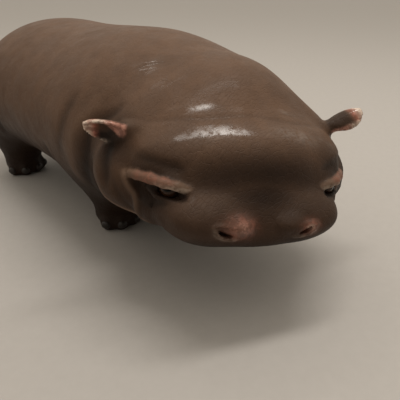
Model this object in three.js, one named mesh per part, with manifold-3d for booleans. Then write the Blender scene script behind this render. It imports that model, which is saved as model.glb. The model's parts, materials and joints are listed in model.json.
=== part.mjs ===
// A hippopotamus calf, standing: a life-size still model in separate solids.
// Millimetres, +Z up. The calf faces -Y and its right side is -X. The soles lie on one level.
import * as THREE from "three";
import { mergeVertices } from "three/addons/utils/BufferGeometryUtils.js";
import Module from "manifold-3d";

const wasm = await Module();
wasm.setup();

// Trunk, measured from the soles and from the line over the shoulders
const TRUNK_HALF_WIDTH = 175;
const TRUNK_HALF_HEIGHT = 134;
const TRUNK_HALF_LENGTH = 303;
const TRUNK_MIDDLE = 194; // height of the trunk's middle line
const BARREL_SETBACK = 16; // the barrel's middle lies this far behind the middle of the back
const SHOULDER_SETBACK = -150;
const SHOULDER_SIZE = [0.904, 0.947]; // parts of the barrel's half width and half height
const RUMP_SIZE = [0.91, 0.913];
const TRUNK_SOFTNESS = 80; // width over which trunk masses run together

// Legs
const LEGS = [
  { name: "foreleg", side: 75, along: -106, upper: 64, socket: 71, crown: 150 },
  { name: "hindleg", side: 104, along: 244, upper: 74, socket: 82, crown: 160 },
];
const SHANK_RADIUS = 41;
const LEG_SOFTNESS = 50;
const ANKLE_HEIGHT = 45;
const PAD_PLACE = [4, 17]; // the sole pad's middle: behind the shank's line, and up
const PAD_SIZE = [37, 36, 21];
const TOE_ANGLES = [-60, -21, 21, 60]; // degrees either side of straight ahead
const TOE_REACH = 33;
const TOE_RADIUS = 15.5;
const NAIL_SIZE = [9, 5.5, 8];
const NAIL_REACH = 46;
const NAIL_HEIGHT = 14;

// Head: its own frame has the nose along -Y, and its origin on the crown between the ears
const HEAD_PLACE = [-2, -332, 307];
const HEAD_TURN = { yaw: -30.4, pitch: 28.5, roll: 7.5 }; // degrees: to its right, nose down, tilt
const HEAD_WIDTH = 1.44; // stretch of every head size across, along and up
const HEAD_LENGTH = 0.863;
const HEAD_HEIGHT = 0.85;
const EYE_RADIUS = 15;
const EYE_PLACE = [106, -155, -55];
const EAR_PLACE = { right: [149, -66, -50], left: [145, -58, -46] }; // the left ear is raised
const EAR_TURN = { right: [10, 8, 11], left: [75.2, 3.9, 30.9] }; // degrees about its X, Y and Z in turn
const EAR_LENGTH = 58;
const EAR_HALF_WIDTH = 20;
const EAR_WIDEST = 0.56; // part of its length at which it is widest
const EAR_THICKNESS = 8;
const EAR_HOLLOW = 11; // depth of the hollow in its front
const EAR_STALK = 10; // radius of its root
const NECK_START = [-4, -190, 192];
const NECK_SETBACK = 22; // the neck's front end lies this far behind and below the crown
const NECK_DROP = 84;
const NECK_RADII = [112, 97];
const NECK_SPREAD = 1.28; // its width over its height
const NECK_SOFTNESS = 80;

// Tail
const TAIL_ROOT = [0, 336, 248];
const TAIL_TIP = [0, 374, 158];
const TAIL_RADII = [19, 9];

const GAP = 0.3; // clearance between neighbouring solids

// Facet sizes
const HEAD_CELL = 18;
const NECK_CELL = 28;
const TRUNK_CELL = 42;
const LEG_CELL = 19.5;
const EAR_STATIONS = [-0.35, 0, 0.14, 0.28, 0.42, 0.56, 0.7, 0.82, 0.91, 0.97]; // parts of its length
const EAR_AROUND = 14;
const TAIL_CELL = 10;

const FAR = 2000; // reach of the blocks that cut
const SLIVER = 0.05; // facet edges shorter than this are closed up

const SKIN = { color: 0x3a2c27, roughness: 0.38, metalness: 0 };
const NAIL = { color: 0x2a2320, roughness: 0.5, metalness: 0 };
const EYE = { color: 0x120c0a, roughness: 0.08, metalness: 0 };

// ---- distance functions: negative inside, in millimetres ----

function blend(a, b, width) {
  const near = Math.max(width - Math.abs(a - b), 0) / width;
  return Math.min(a, b) - near * near * width * 0.25;
}

function egg(p, centre, radii) {
  let over = 0;
  let steep = 0;
  for (let i = 0; i < 3; i += 1) {
    const t = (p[i] - centre[i]) / radii[i];
    over += t * t;
    steep += (t * t) / (radii[i] * radii[i]);
  }
  over = Math.sqrt(over);
  return steep < 1e-12 ? -Math.min(...radii) : (over * (over - 1)) / Math.sqrt(steep);
}

function taper(p, from, to, startRadius, endRadius) {
  let dot = 0;
  let square = 0;
  for (let i = 0; i < 3; i += 1) {
    dot += (p[i] - from[i]) * (to[i] - from[i]);
    square += (to[i] - from[i]) ** 2;
  }
  const t = Math.min(Math.max(dot / square, 0), 1);
  const away = Math.hypot(...p.map((v, i) => v - from[i] - t * (to[i] - from[i])));
  return away - startRadius - (endRadius - startRadius) * t;
}

// The common part of two forms, with its edge rounded over the width.
const common = (a, b, width) => -blend(-a, -b, width);

const mirrored = (p) => [Math.abs(p[0]), p[1], p[2]];

// ---- the head's own frame ----

const degrees = THREE.MathUtils.degToRad;
const headTurn = new THREE.Matrix4().makeRotationFromEuler(
  new THREE.Euler(degrees(HEAD_TURN.pitch), degrees(HEAD_TURN.roll), degrees(HEAD_TURN.yaw), "ZXY"),
);
const headFrame = new THREE.Matrix4().makeTranslation(...HEAD_PLACE).multiply(headTurn);
const intoHead = headFrame.clone().invert();

const inHead = (p) => new THREE.Vector3(...p).applyMatrix4(intoHead).toArray();
const fromHead = (p) => new THREE.Vector3(...p).applyMatrix4(headFrame).toArray();
const headDirection = (v) => new THREE.Vector3(...v).transformDirection(headFrame);

// ---- the calf's form ----

function headForm(p) {
  const q = inHead(p);
  const s = [Math.abs(q[0]) / HEAD_WIDTH, q[1] / HEAD_LENGTH, q[2] / HEAD_HEIGHT];
  let d = egg(s, [0, -58, -60], [101, 87, 43]); // cranium
  d = blend(d, egg(s, [0, -138, -43], [72, 62, 51]), 45); // forehead
  d = blend(d, egg(s, [87, -97, -126], [47, 74, 54]), 45); // jowl
  d = blend(d, egg(s, [69, -133, -54], [26, 36, 25]), 30); // brow
  d = blend(d, taper(s, [30, -100, -80], [28, -195, -92], 46, 38), 40); // bridge of the face
  d = blend(d, egg(s, [0, -211, -80], [66, 60, 31]), 50); // muzzle
  d = blend(d, egg(s, [46, -194, -94], [34, 55, 27]), 30); // upper lip
  d = blend(d, egg(s, [46, -231, -67], [28, 30, 22]), 20); // nostril swelling
  d = blend(d, egg(s, [0, -114, -146], [66, 90, 62]), 34); // lower jaw
  d = blend(d, egg(s, [79, -156, -119], [20, 46, 23]), 24); // corner of the mouth
  return d;
}

function legForm(s, leg) {
  const hip = [leg.side, leg.along, TRUNK_MIDDLE - 50];
  const ankle = [leg.side, leg.along, ANKLE_HEIGHT];
  let d = taper(s, hip, ankle, leg.upper, SHANK_RADIUS);
  d = blend(d, egg(s, [leg.side, leg.along + PAD_PLACE[0], PAD_PLACE[1]], PAD_SIZE), 14);
  for (const angle of TOE_ANGLES) {
    const a = degrees(angle);
    const toe = [leg.side + TOE_REACH * Math.sin(a), leg.along - TOE_REACH * Math.cos(a), TOE_RADIUS - 2];
    d = blend(d, egg(s, toe, [TOE_RADIUS, TOE_RADIUS, TOE_RADIUS]), 14);
  }
  return d;
}

function neckForm(p) {
  const squashed = ([x, y, z]) => [x / NECK_SPREAD, y, z];
  const [x, y, z] = HEAD_PLACE;
  const front = squashed([x, y + NECK_SETBACK, z - NECK_DROP]);
  return taper(squashed(p), squashed(NECK_START), front, ...NECK_RADII);
}

function trunkForm(p) {
  const s = mirrored(p);
  const [w, h, l, z] = [TRUNK_HALF_WIDTH, TRUNK_HALF_HEIGHT, TRUNK_HALF_LENGTH, TRUNK_MIDDLE];
  let d = egg(s, [0, BARREL_SETBACK, z + 4], [w, l, h * 1.04]); // barrel
  const shoulders = [w * SHOULDER_SIZE[0], 160, h * SHOULDER_SIZE[1]];
  d = blend(d, egg(s, [0, SHOULDER_SETBACK, z + 5], shoulders), TRUNK_SOFTNESS);
  d = blend(d, egg(s, [0, l - 100, z], [w * RUMP_SIZE[0], 150, h * RUMP_SIZE[1]]), TRUNK_SOFTNESS);
  d = blend(d, neckForm(p), NECK_SOFTNESS);
  for (const leg of LEGS) {
    d = blend(d, legForm(s, leg), LEG_SOFTNESS);
  }
  return d;
}

const calfForm = (p) => blend(headForm(p), trunkForm(p), 30);

// ---- surfaces from forms ----

function settle(form, p) {
  // Moves a point onto the form's surface along the steepest line.
  const step = 0.05;
  for (let turn = 0; turn < 4; turn += 1) {
    const here = form(p);
    const slope = [0, 1, 2].map((a) => {
      const q = [...p];
      q[a] += step;
      return (form(q) - here) / step;
    });
    const square = slope.reduce((sum, v) => sum + v * v, 0);
    if (square < 1e-6) {
      return p;
    }
    p = p.map((v, a) => v - (here * slope[a]) / square);
  }
  return p;
}

function surfaceOf(form, low, high, cell) {
  // One vertex in each cell that the surface crosses, and one quad around each crossed grid edge.
  const count = [0, 1, 2].map((a) => Math.ceil((high[a] - low[a]) / cell) + 1);
  const stride = [1, count[0], count[0] * count[1]];
  const value = new Float32Array(count[0] * count[1] * count[2]);
  const at = (c) => c[0] * stride[0] + c[1] * stride[1] + c[2] * stride[2];
  const place = (c) => c.map((n, a) => low[a] + n * cell);
  const everyCell = (margin, visit) => {
    for (let k = 0; k < count[2] - margin; k += 1) {
      for (let j = 0; j < count[1] - margin; j += 1) {
        for (let i = 0; i < count[0] - margin; i += 1) {
          visit([i, j, k]);
        }
      }
    }
  };
  everyCell(0, (c) => {
    value[at(c)] = form(place(c));
  });
  const vertexOf = new Map();
  const vertices = [];
  everyCell(1, (c) => {
    const sum = [0, 0, 0];
    let crossings = 0;
    for (let a = 0; a < 3; a += 1) {
      const [b, e] = [(a + 1) % 3, (a + 2) % 3];
      for (const [u, v] of [[0, 0], [1, 0], [0, 1], [1, 1]]) {
        const start = [...c];
        start[b] += u;
        start[e] += v;
        const near = value[at(start)];
        const far = value[at(start) + stride[a]];
        if (near < 0 !== far < 0) {
          const spot = place(start);
          spot[a] += (cell * near) / (near - far);
          spot.forEach((s, n) => {
            sum[n] += s;
          });
          crossings += 1;
        }
      }
    }
    if (crossings > 0) {
      vertexOf.set(at(c), vertices.length);
      vertices.push(settle(form, sum.map((s) => s / crossings)));
    }
  });
  const gapBetween = (m, n) => Math.hypot(...vertices[m].map((v, a) => v - vertices[n][a]));
  const triangles = [];
  everyCell(1, (c) => {
    for (let a = 0; a < 3; a += 1) {
      const inside = value[at(c)] < 0;
      if (inside === value[at(c) + stride[a]] < 0) {
        continue;
      }
      const [b, e] = [stride[(a + 1) % 3], stride[(a + 2) % 3]];
      const ring = [at(c) - b - e, at(c) - e, at(c), at(c) - b].map((n) => vertexOf.get(n));
      const [m, n, o, q] = inside ? ring : ring.reverse();
      if (gapBetween(m, o) <= gapBetween(n, q)) {
        triangles.push(m, n, o, m, o, q);
      } else {
        triangles.push(n, o, q, n, q, m);
      }
    }
  });
  const surface = new THREE.BufferGeometry();
  surface.setAttribute("position", new THREE.Float32BufferAttribute(vertices.flat(), 3));
  surface.setIndex(triangles);
  return surface;
}

// ---- joining and cutting ----

function solid(geometry) {
  const bare = geometry.clone();
  bare.deleteAttribute("normal");
  bare.deleteAttribute("uv");
  const merged = mergeVertices(bare, 1e-3);
  const corners = merged.index.array;
  const kept = [];
  for (let i = 0; i < corners.length; i += 3) {
    const [a, b, c] = corners.slice(i, i + 3);
    if (a !== b && b !== c && c !== a) {
      kept.push(a, b, c);
    }
  }
  const mesh = new wasm.Mesh({
    numProp: 3,
    vertProperties: new Float32Array(merged.attributes.position.array),
    triVerts: new Uint32Array(kept),
  });
  return new wasm.Manifold(mesh);
}

function geometryOf(shape) {
  const mesh = shape.getMesh();
  const geometry = new THREE.BufferGeometry();
  geometry.setAttribute("position", new THREE.BufferAttribute(mesh.vertProperties, 3));
  geometry.setIndex(new THREE.BufferAttribute(mesh.triVerts, 1));
  return geometry;
}

const largest = (shape) => shape.decompose().reduce((a, b) => (a.volume() > b.volume() ? a : b));

function beyond(point, normal, shift) {
  // A block that fills the half of space past a plane.
  const block = new THREE.BoxGeometry(FAR, FAR, FAR);
  block.translate(0, 0, FAR / 2 + shift);
  const turn = new THREE.Quaternion().setFromUnitVectors(new THREE.Vector3(0, 0, 1), normal);
  block.applyQuaternion(turn);
  block.translate(...point);
  return solid(block);
}

function legEnvelope(leg, sign, grow) {
  // A round-topped post that takes in the leg, and whose wall is the seam with the trunk.
  const radius = leg.socket + grow;
  const outline = [new THREE.Vector2(0, -FAR / 10), new THREE.Vector2(radius, -FAR / 10)];
  for (let turn = 0; turn < 90; turn += 30) {
    const a = degrees(turn);
    const height = leg.crown - leg.socket;
    outline.push(new THREE.Vector2(radius * Math.cos(a), height + radius * Math.sin(a)));
  }
  outline.push(new THREE.Vector2(0, leg.crown + grow));
  const post = new THREE.LatheGeometry(outline, 20);
  post.rotateX(Math.PI / 2);
  post.translate(sign * leg.side, leg.along, 0);
  return solid(post);
}

function ball(centre, radii, grow = 0, around = 8, down = 5) {
  const round = new THREE.SphereGeometry(1, around, down);
  round.scale(...radii.map((r) => r + grow));
  return round.translate(...centre);
}

// ---- seams ----

const unit = (x, y, z) => new THREE.Vector3(x, y, z).normalize();
const headSeam = { point: fromHead([0, 8, -60]), normal: headDirection([0.15, -1, 0.3]) };
const neckSeam = { point: [0, -205, TRUNK_MIDDLE], normal: unit(-0.28, -1, 0.05) };
const past = (seam, p) => seam.normal.dot(new THREE.Vector3(...p.map((v, a) => v - seam.point[a])));

function keepPast(shape, seam) {
  return shape.subtract(beyond(seam.point, seam.normal.clone().negate(), -GAP / 2));
}

function keepBefore(shape, seam) {
  return shape.subtract(beyond(seam.point, seam.normal, -GAP / 2));
}

const calf = new THREE.Group();

function addNode(name, shape, finish) {
  const clean = shape.simplify(SLIVER);
  const mesh = new THREE.Mesh(geometryOf(clean), new THREE.MeshStandardMaterial(finish));
  mesh.name = name;
  mesh.geometry.computeVertexNormals();
  calf.add(mesh);
}

// ---- head, eyes and ears ----

const SIDES = [
  { name: "right", sign: -1 },
  { name: "left", sign: 1 },
];
const MARGIN = 30; // how far a surface runs on past a seam before the seam trims it
const HEAD_REACH = 250;
const onHead = (place, sign) => fromHead([sign * place[0], place[1], place[2]]);

function headSurface(grow) {
  const middle = fromHead([0, -110, -60]);
  const form = (p) => {
    const away = Math.hypot(...p.map((v, a) => v - middle[a]));
    const clip = Math.max(-past(headSeam, p) - MARGIN, away - HEAD_REACH);
    return common(calfForm(p) - grow, clip, HEAD_CELL);
  };
  const reach = HEAD_REACH + HEAD_CELL;
  return solid(surfaceOf(form, middle.map((v) => v - reach), middle.map((v) => v + reach), HEAD_CELL));
}

function eyeball(sign, grow) {
  return solid(ball(onHead(EYE_PLACE, sign), [EYE_RADIUS, EYE_RADIUS, EYE_RADIUS], grow, 12, 7));
}

function loft(rings) {
  // A closed surface over rings of points, with a point in the middle of each end ring.
  const around = rings[0].length;
  const centre = (ring) => [0, 1, 2].map((a) => ring.reduce((sum, p) => sum + p[a], 0) / around);
  const vertices = [...rings.flat(), centre(rings[0]), centre(rings[rings.length - 1])];
  const [startPole, endPole] = [vertices.length - 2, vertices.length - 1];
  const triangles = [];
  for (let k = 0; k < around; k += 1) {
    const next = (k + 1) % around;
    triangles.push(startPole, next, k);
    for (let n = 0; n < rings.length - 1; n += 1) {
      const [low, high] = [n * around, (n + 1) * around];
      triangles.push(low + k, low + next, high + next, low + k, high + next, high + k);
    }
    const last = (rings.length - 1) * around;
    triangles.push(endPole, last + k, last + next);
  }
  const surface = new THREE.BufferGeometry();
  surface.setAttribute("position", new THREE.Float32BufferAttribute(vertices.flat(), 3));
  surface.setIndex(triangles);
  return surface;
}

function earSection(along) {
  // Half width, half thickness and hollow of the ear at a part of its length.
  const root = Math.min(Math.max(along / EAR_WIDEST, 0), 1);
  const tip = Math.min(Math.max((along - EAR_WIDEST) / (1 - EAR_WIDEST), 0), 1);
  const taperOff = Math.sqrt(1 - tip * tip);
  const swell = root * root * (3 - 2 * root);
  const stalk = EAR_STALK / EAR_HALF_WIDTH;
  return {
    half: EAR_HALF_WIDTH * (stalk + (1 - stalk) * swell) * taperOff,
    thick: (EAR_STALK + (EAR_THICKNESS / 2 - EAR_STALK) * swell) * Math.sqrt(taperOff),
    cup: EAR_HOLLOW * swell * taperOff,
  };
}

function ear(sign, place, angles) {
  // A leaf that stands out sideways on a round stalk, hollow on its front.
  const turn = new THREE.Matrix4().makeRotationFromEuler(new THREE.Euler(...angles.map(degrees), "XYZ"));
  const rings = EAR_STATIONS.map((along) => {
    const { half, thick, cup } = earSection(along);
    return Array.from({ length: EAR_AROUND }, (_, k) => {
      const a = (k / EAR_AROUND) * 2 * Math.PI;
      const bend = cup * Math.sin(a) ** 2;
      const local = [EAR_LENGTH * along, bend - cup / 2 + thick * Math.sin(a), half * Math.cos(a)];
      const q = new THREE.Vector3(...local).applyMatrix4(turn).toArray();
      return onHead(place.map((v, n) => v + q[n]), sign);
    });
  });
  return solid(loft(sign < 0 ? rings : rings.reverse()));
}

let head = keepPast(keepPast(headSurface(0), headSeam), neckSeam);
const headMould = headSurface(GAP);
for (const { name, sign } of SIDES) {
  head = head.subtract(eyeball(sign, GAP));
  addNode(`eye_${name}`, eyeball(sign, 0), EYE);
  const leaf = ear(sign, EAR_PLACE[name], EAR_TURN[name]);
  addNode(`ear_${name}`, largest(leaf.subtract(headMould).subtract(head)), SKIN);
}
addNode("head", head, SKIN);

// ---- neck and trunk ----

const neckPiece = (p) => {
  const clip = common(past(headSeam, p) - MARGIN, -past(neckSeam, p) - MARGIN, NECK_CELL);
  return common(calfForm(p), clip, NECK_CELL);
};
const neckSurface = solid(surfaceOf(neckPiece, [-250, -460, 10], [250, -90, 400], NECK_CELL));
let neck = keepPast(keepBefore(neckSurface, headSeam), neckSeam);

function trunkSurface(grow) {
  const form = (p) => {
    const clip = Math.max(past(neckSeam, p) - MARGIN, ANKLE_HEIGHT - p[2]);
    return common(calfForm(p) - grow, clip, TRUNK_CELL);
  };
  return solid(surfaceOf(form, [-230, -340, 10], [230, 410, 400], TRUNK_CELL));
}

// ---- legs, toes and nails ----

function nail(leg, sign, angle, grow) {
  const a = degrees(angle);
  const place = [
    sign * (leg.side + NAIL_REACH * Math.sin(a)),
    leg.along - NAIL_REACH * Math.cos(a),
    NAIL_HEIGHT,
  ];
  const plate = ball([0, 0, 0], NAIL_SIZE, grow, 8, 4);
  plate.rotateZ(sign * a);
  return solid(plate.translate(...place));
}

const floorCut = beyond([0, 0, 0], new THREE.Vector3(0, 0, -1), 0);
let trunk = keepBefore(trunkSurface(0), neckSeam);
for (const leg of LEGS) {
  for (const { name, sign } of SIDES) {
    const socket = legEnvelope(leg, sign, GAP / 2);
    trunk = trunk.subtract(socket);
    neck = neck.subtract(socket);
    const [x, y] = [sign * leg.side, leg.along];
    const reach = leg.socket + 2 * LEG_CELL;
    const low = [x - reach, y - reach, -2 * LEG_CELL];
    const high = [x + reach, y + reach, leg.crown + 3 * LEG_CELL];
    const form = (p) => {
      const post = Math.hypot(p[0] - x, p[1] - y) - leg.socket - LEG_CELL;
      const clip = Math.max(post, p[2] - leg.crown - LEG_CELL);
      return common(calfForm(p), clip, LEG_CELL);
    };
    let limb = solid(surfaceOf(form, low, high, LEG_CELL));
    limb = limb.intersect(legEnvelope(leg, sign, -GAP / 2)).subtract(floorCut);
    TOE_ANGLES.forEach((angle, n) => {
      limb = limb.subtract(nail(leg, sign, angle, GAP));
      addNode(`nail_${leg.name}_${name}_${n + 1}`, nail(leg, sign, angle, 0), NAIL);
    });
    addNode(`${leg.name}_${name}`, largest(limb), SKIN);
  }
}
addNode("trunk", largest(trunk), SKIN);
addNode("neck", largest(neck), SKIN);

// ---- tail ----

function tailForm(p) {
  // Broad from side to side at its root, and flattened towards its tip.
  const s = [p[0] * 1.1, p[1], p[2]];
  return taper(s, TAIL_ROOT, TAIL_TIP, ...TAIL_RADII);
}
const tailReach = [TAIL_RADII[0] + TAIL_CELL, TAIL_RADII[0] + TAIL_CELL, TAIL_RADII[0] + TAIL_CELL];
const tailLow = TAIL_ROOT.map((v, a) => Math.min(v, TAIL_TIP[a]) - tailReach[a]);
const tailHigh = TAIL_ROOT.map((v, a) => Math.max(v, TAIL_TIP[a]) + tailReach[a]);
const tail = solid(surfaceOf(tailForm, tailLow, tailHigh, TAIL_CELL)).subtract(trunkSurface(GAP));
addNode("tail", largest(tail), SKIN);

// ---- placing: the origin lies under the middle of the calf, level with its soles ----

const box = new THREE.Box3().setFromObject(calf);
const middle = box.getCenter(new THREE.Vector3());
calf.position.set(-middle.x, -middle.y, -box.min.z);

export default calf;
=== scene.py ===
import json
import math
import bpy
import numpy as np
from mathutils import Matrix, Vector

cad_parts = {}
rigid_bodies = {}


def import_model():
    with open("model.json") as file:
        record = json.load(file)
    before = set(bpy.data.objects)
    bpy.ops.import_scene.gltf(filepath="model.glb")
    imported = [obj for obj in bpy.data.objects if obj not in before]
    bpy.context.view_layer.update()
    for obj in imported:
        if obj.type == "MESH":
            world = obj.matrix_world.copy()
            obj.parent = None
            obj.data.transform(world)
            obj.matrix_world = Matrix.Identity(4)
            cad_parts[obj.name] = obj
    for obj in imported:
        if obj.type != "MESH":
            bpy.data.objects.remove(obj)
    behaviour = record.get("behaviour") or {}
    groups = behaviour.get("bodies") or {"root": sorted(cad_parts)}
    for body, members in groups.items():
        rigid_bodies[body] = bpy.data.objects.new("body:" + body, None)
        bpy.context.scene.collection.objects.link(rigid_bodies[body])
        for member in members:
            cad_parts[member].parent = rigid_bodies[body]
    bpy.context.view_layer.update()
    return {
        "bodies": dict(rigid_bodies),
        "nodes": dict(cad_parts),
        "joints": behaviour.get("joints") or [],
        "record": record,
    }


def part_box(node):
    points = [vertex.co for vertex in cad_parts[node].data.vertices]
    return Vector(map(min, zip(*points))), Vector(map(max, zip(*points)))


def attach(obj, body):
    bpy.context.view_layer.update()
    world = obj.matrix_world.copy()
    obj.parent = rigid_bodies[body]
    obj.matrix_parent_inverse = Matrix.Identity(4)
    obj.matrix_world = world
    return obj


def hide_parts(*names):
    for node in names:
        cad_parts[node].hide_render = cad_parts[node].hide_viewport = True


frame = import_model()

MM = 0.001

# ---------------------------------------------------------------- camera

CAMERA_PLACE = (-461.6, -748.6, 440.3)  # millimetres, in the calf's own frame
CAMERA_HEADING = -43.35  # degrees: 0 looks along +Y
CAMERA_DOWN = 28.43
CAMERA_ROLL = 0.38
CAMERA_LENS = 39.5
SENSOR = 36.0
NEAREST_SEEN = 0.01  # metres

# ---------------------------------------------------------------- the calf's sizes, in millimetres

TRUNK_HALF_WIDTH = 175
TRUNK_HALF_HEIGHT = 134
TRUNK_HALF_LENGTH = 303
TRUNK_MIDDLE = 194
BARREL_SETBACK = 16
BARREL_LIFT = 4  # above the trunk's middle
BARREL_DEEPENING = 1.04
SHOULDER_SIZE = (0.904, 0.947)  # parts of the barrel's half width and half height
SHOULDER_HALF_LENGTH = 160
SHOULDER_SETBACK = -150
SHOULDER_LIFT = 5
RUMP_SIZE = (0.91, 0.913)
RUMP_HALF_LENGTH = 150
RUMP_INSET = 100  # its middle lies this far inside the trunk's half length
TRUNK_SOFTNESS = 80  # width over which the trunk's masses run together

LEGS = {
    "foreleg": {"side": 75, "along": -106, "upper": 64},
    "hindleg": {"side": 104, "along": 244, "upper": 74},
}
HIP_DROP = 50  # below the trunk's middle
SHANK_RADIUS = 41
LEG_SOFTNESS = 50
ANKLE_HEIGHT = 45
PAD_PLACE = (4, 17)  # the sole pad's middle: behind the shank's line, and up
PAD_SIZE = (37, 36, 21)
PAD_SOFTNESS = 14
TOE_ANGLES = (-60, -21, 21, 60)  # degrees either side of straight ahead
TOE_REACH = 33
TOE_RADIUS = 15.5
TOE_SINK = 2  # a toe's middle lies this much lower than its radius
TOE_SOFTNESS = 9
NAIL_SIZE = (9, 5.5, 8)
NAIL_REACH = 46
NAIL_HEIGHT = 14
NAIL_RINGS = 12
NAIL_AROUND = 20

HEAD_PLACE = (-2, -332, 307)
HEAD_TURN = (-30.4, 28.5, 7.5)  # yaw, pitch and roll in degrees
HEAD_STRETCH = (1.44, 0.863, 0.85)  # of every head size across, along and up
HEAD_SOFTNESS = 30
EYE_RADIUS = 15
EYE_PLACE = (106, -155, -55)
EAR_PLACES = {"right": (149, -66, -50), "left": (145, -58, -46)}  # the left ear is raised
EAR_TURNS = {"right": (10, 8, 11), "left": (75.2, 3.9, 30.9)}  # degrees about its X, Y and Z in turn
EAR_LENGTH = 58
EAR_HALF_WIDTH = 20
EAR_WIDEST = 0.56  # part of its length at which it is widest
EAR_THICKNESS = 8
EAR_HOLLOW = 11  # depth of the hollow in its front
EAR_STALK = 10  # radius of its root
EAR_RUN = (-0.35, 0.96)  # parts of its length between which the leaf runs
EAR_EDGE_THINNING = 0.35
EAR_SOFTNESS = 9
NECK_START = (-4, -190, 192)
NECK_SETBACK = 22  # the neck's front end lies this far behind and below the crown
NECK_DROP = 84
NECK_SPREAD = 1.28  # its width over its height
NECK_RADII = (112, 97)
NECK_SOFTNESS = 80

TAIL_ROOT = (0, 336, 248)
TAIL_TIP = (0, 374, 158)
TAIL_RADII = (19, 9)
TAIL_FLATNESS = 1.1  # its height over its width
TAIL_SOFTNESS = 14

# Parts of the head in its own frame before the stretch: kind, sizes, softness of the join
HEAD_PARTS = (
    ("egg", (0, -58, -60), (101, 87, 43), 0),  # cranium
    ("egg", (0, -138, -43), (72, 62, 51), 45),  # forehead
    ("egg", (87, -97, -126), (47, 74, 54), 45),  # jowl
    ("egg", (69, -133, -54), (26, 36, 25), 30),  # brow
    ("taper", (30, -100, -80), (28, -195, -92), 46, 38, 40),  # bridge of the face
    ("egg", (0, -211, -80), (66, 60, 31), 50),  # muzzle
    ("egg", (46, -194, -94), (34, 55, 27), 30),  # upper lip
    ("egg", (46, -231, -67), (28, 30, 22), 20),  # nostril swelling
    ("egg", (0, -114, -146), (66, 90, 62), 34),  # lower jaw
    ("egg", (79, -156, -119), (20, 46, 23), 24),  # corner of the mouth
)

# ---------------------------------------------------------------- marks and forms


def near(q, place, size):
    """1 at a place, falling away over the size."""
    return np.exp(-sum(((q[i] - place[i]) / size[i]) ** 2 for i in range(3)))


def soft_step(value, low, high):
    """0 at the low value and 1 at the high one, or the other way round where low is the larger."""
    t = np.clip((value - low) / (high - low), 0, 1)
    return t * t * (3 - 2 * t)


# The forms below give a point's distance from a surface: negative inside, in millimetres.


def blend(a, b, width):
    """Two forms in one, run together over the width."""
    closeness = np.maximum(width - np.abs(a - b), 0) / width
    return np.minimum(a, b) - closeness * closeness * width * 0.25


def common(a, b, width):
    """The common part of two forms, with its edge rounded over the width."""
    return -blend(-a, -b, width)


def egg(p, centre, radii):
    t = [(p[i] - centre[i]) / radii[i] for i in range(3)]
    over = np.sqrt(t[0] ** 2 + t[1] ** 2 + t[2] ** 2) + 1e-9
    steep = np.sqrt(sum((t[i] / radii[i]) ** 2 for i in range(3))) + 1e-9
    return over * (over - 1) / steep


def ball(p, centre, radius):
    return np.sqrt(sum((p[i] - centre[i]) ** 2 for i in range(3))) - radius


def taper(p, start, end, first, last):
    run = [end[i] - start[i] for i in range(3)]
    part = sum((p[i] - start[i]) * run[i] for i in range(3)) / sum(r * r for r in run)
    part = np.clip(part, 0, 1)
    away = np.sqrt(sum((p[i] - start[i] - part * run[i]) ** 2 for i in range(3)))
    return away - first - (last - first) * part


def turn_about(angles, order):
    made = np.eye(3)
    for axis in order:
        a = math.radians(angles["XYZ".index(axis)])
        made = made @ np.array(Matrix.Rotation(a, 3, axis))
    return made


HEAD_FRAME = turn_about((HEAD_TURN[1], HEAD_TURN[2], HEAD_TURN[0]), "ZXY")


def in_head(p):
    away = [p[i] - HEAD_PLACE[i] for i in range(3)]
    return [sum(away[i] * HEAD_FRAME[i, k] for i in range(3)) for k in range(3)]


def from_head(q):
    return HEAD_FRAME @ np.array(q, float) + np.array(HEAD_PLACE, float)


def head_form(p):
    q = in_head(p)
    s = [np.abs(q[0]) / HEAD_STRETCH[0], q[1] / HEAD_STRETCH[1], q[2] / HEAD_STRETCH[2]]
    d = None
    for kind, *sizes, softness in HEAD_PARTS:
        part = egg(s, *sizes) if kind == "egg" else taper(s, *sizes)
        d = part if d is None else blend(d, part, softness)
    return d


def leg_form(s, leg):
    side, along = leg["side"], leg["along"]
    hip = (side, along, TRUNK_MIDDLE - HIP_DROP)
    d = taper(s, hip, (side, along, ANKLE_HEIGHT), leg["upper"], SHANK_RADIUS)
    d = blend(d, egg(s, (side, along + PAD_PLACE[0], PAD_PLACE[1]), PAD_SIZE), PAD_SOFTNESS)
    for angle in TOE_ANGLES:
        a = math.radians(angle)
        toe = (side + TOE_REACH * math.sin(a), along - TOE_REACH * math.cos(a), TOE_RADIUS - TOE_SINK)
        d = blend(d, ball(s, toe, TOE_RADIUS), TOE_SOFTNESS)
    return d


def neck_form(p):
    x, y, z = NECK_START
    start = (x / NECK_SPREAD, y, z)
    end = (HEAD_PLACE[0] / NECK_SPREAD, HEAD_PLACE[1] + NECK_SETBACK, HEAD_PLACE[2] - NECK_DROP)
    return taper([p[0] / NECK_SPREAD, p[1], p[2]], start, end, *NECK_RADII)


def trunk_form(p):
    s = [np.abs(p[0]), p[1], p[2]]
    w, h, l, z = TRUNK_HALF_WIDTH, TRUNK_HALF_HEIGHT, TRUNK_HALF_LENGTH, TRUNK_MIDDLE
    d = egg(s, (0, BARREL_SETBACK, z + BARREL_LIFT), (w, l, h * BARREL_DEEPENING))
    shoulders = (w * SHOULDER_SIZE[0], SHOULDER_HALF_LENGTH, h * SHOULDER_SIZE[1])
    d = blend(d, egg(s, (0, SHOULDER_SETBACK, z + SHOULDER_LIFT), shoulders), TRUNK_SOFTNESS)
    rump = (w * RUMP_SIZE[0], RUMP_HALF_LENGTH, h * RUMP_SIZE[1])
    d = blend(d, egg(s, (0, l - RUMP_INSET, z), rump), TRUNK_SOFTNESS)
    d = blend(d, neck_form(p), NECK_SOFTNESS)
    for leg in LEGS.values():
        d = blend(d, leg_form(s, leg), LEG_SOFTNESS)
    return d


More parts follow.
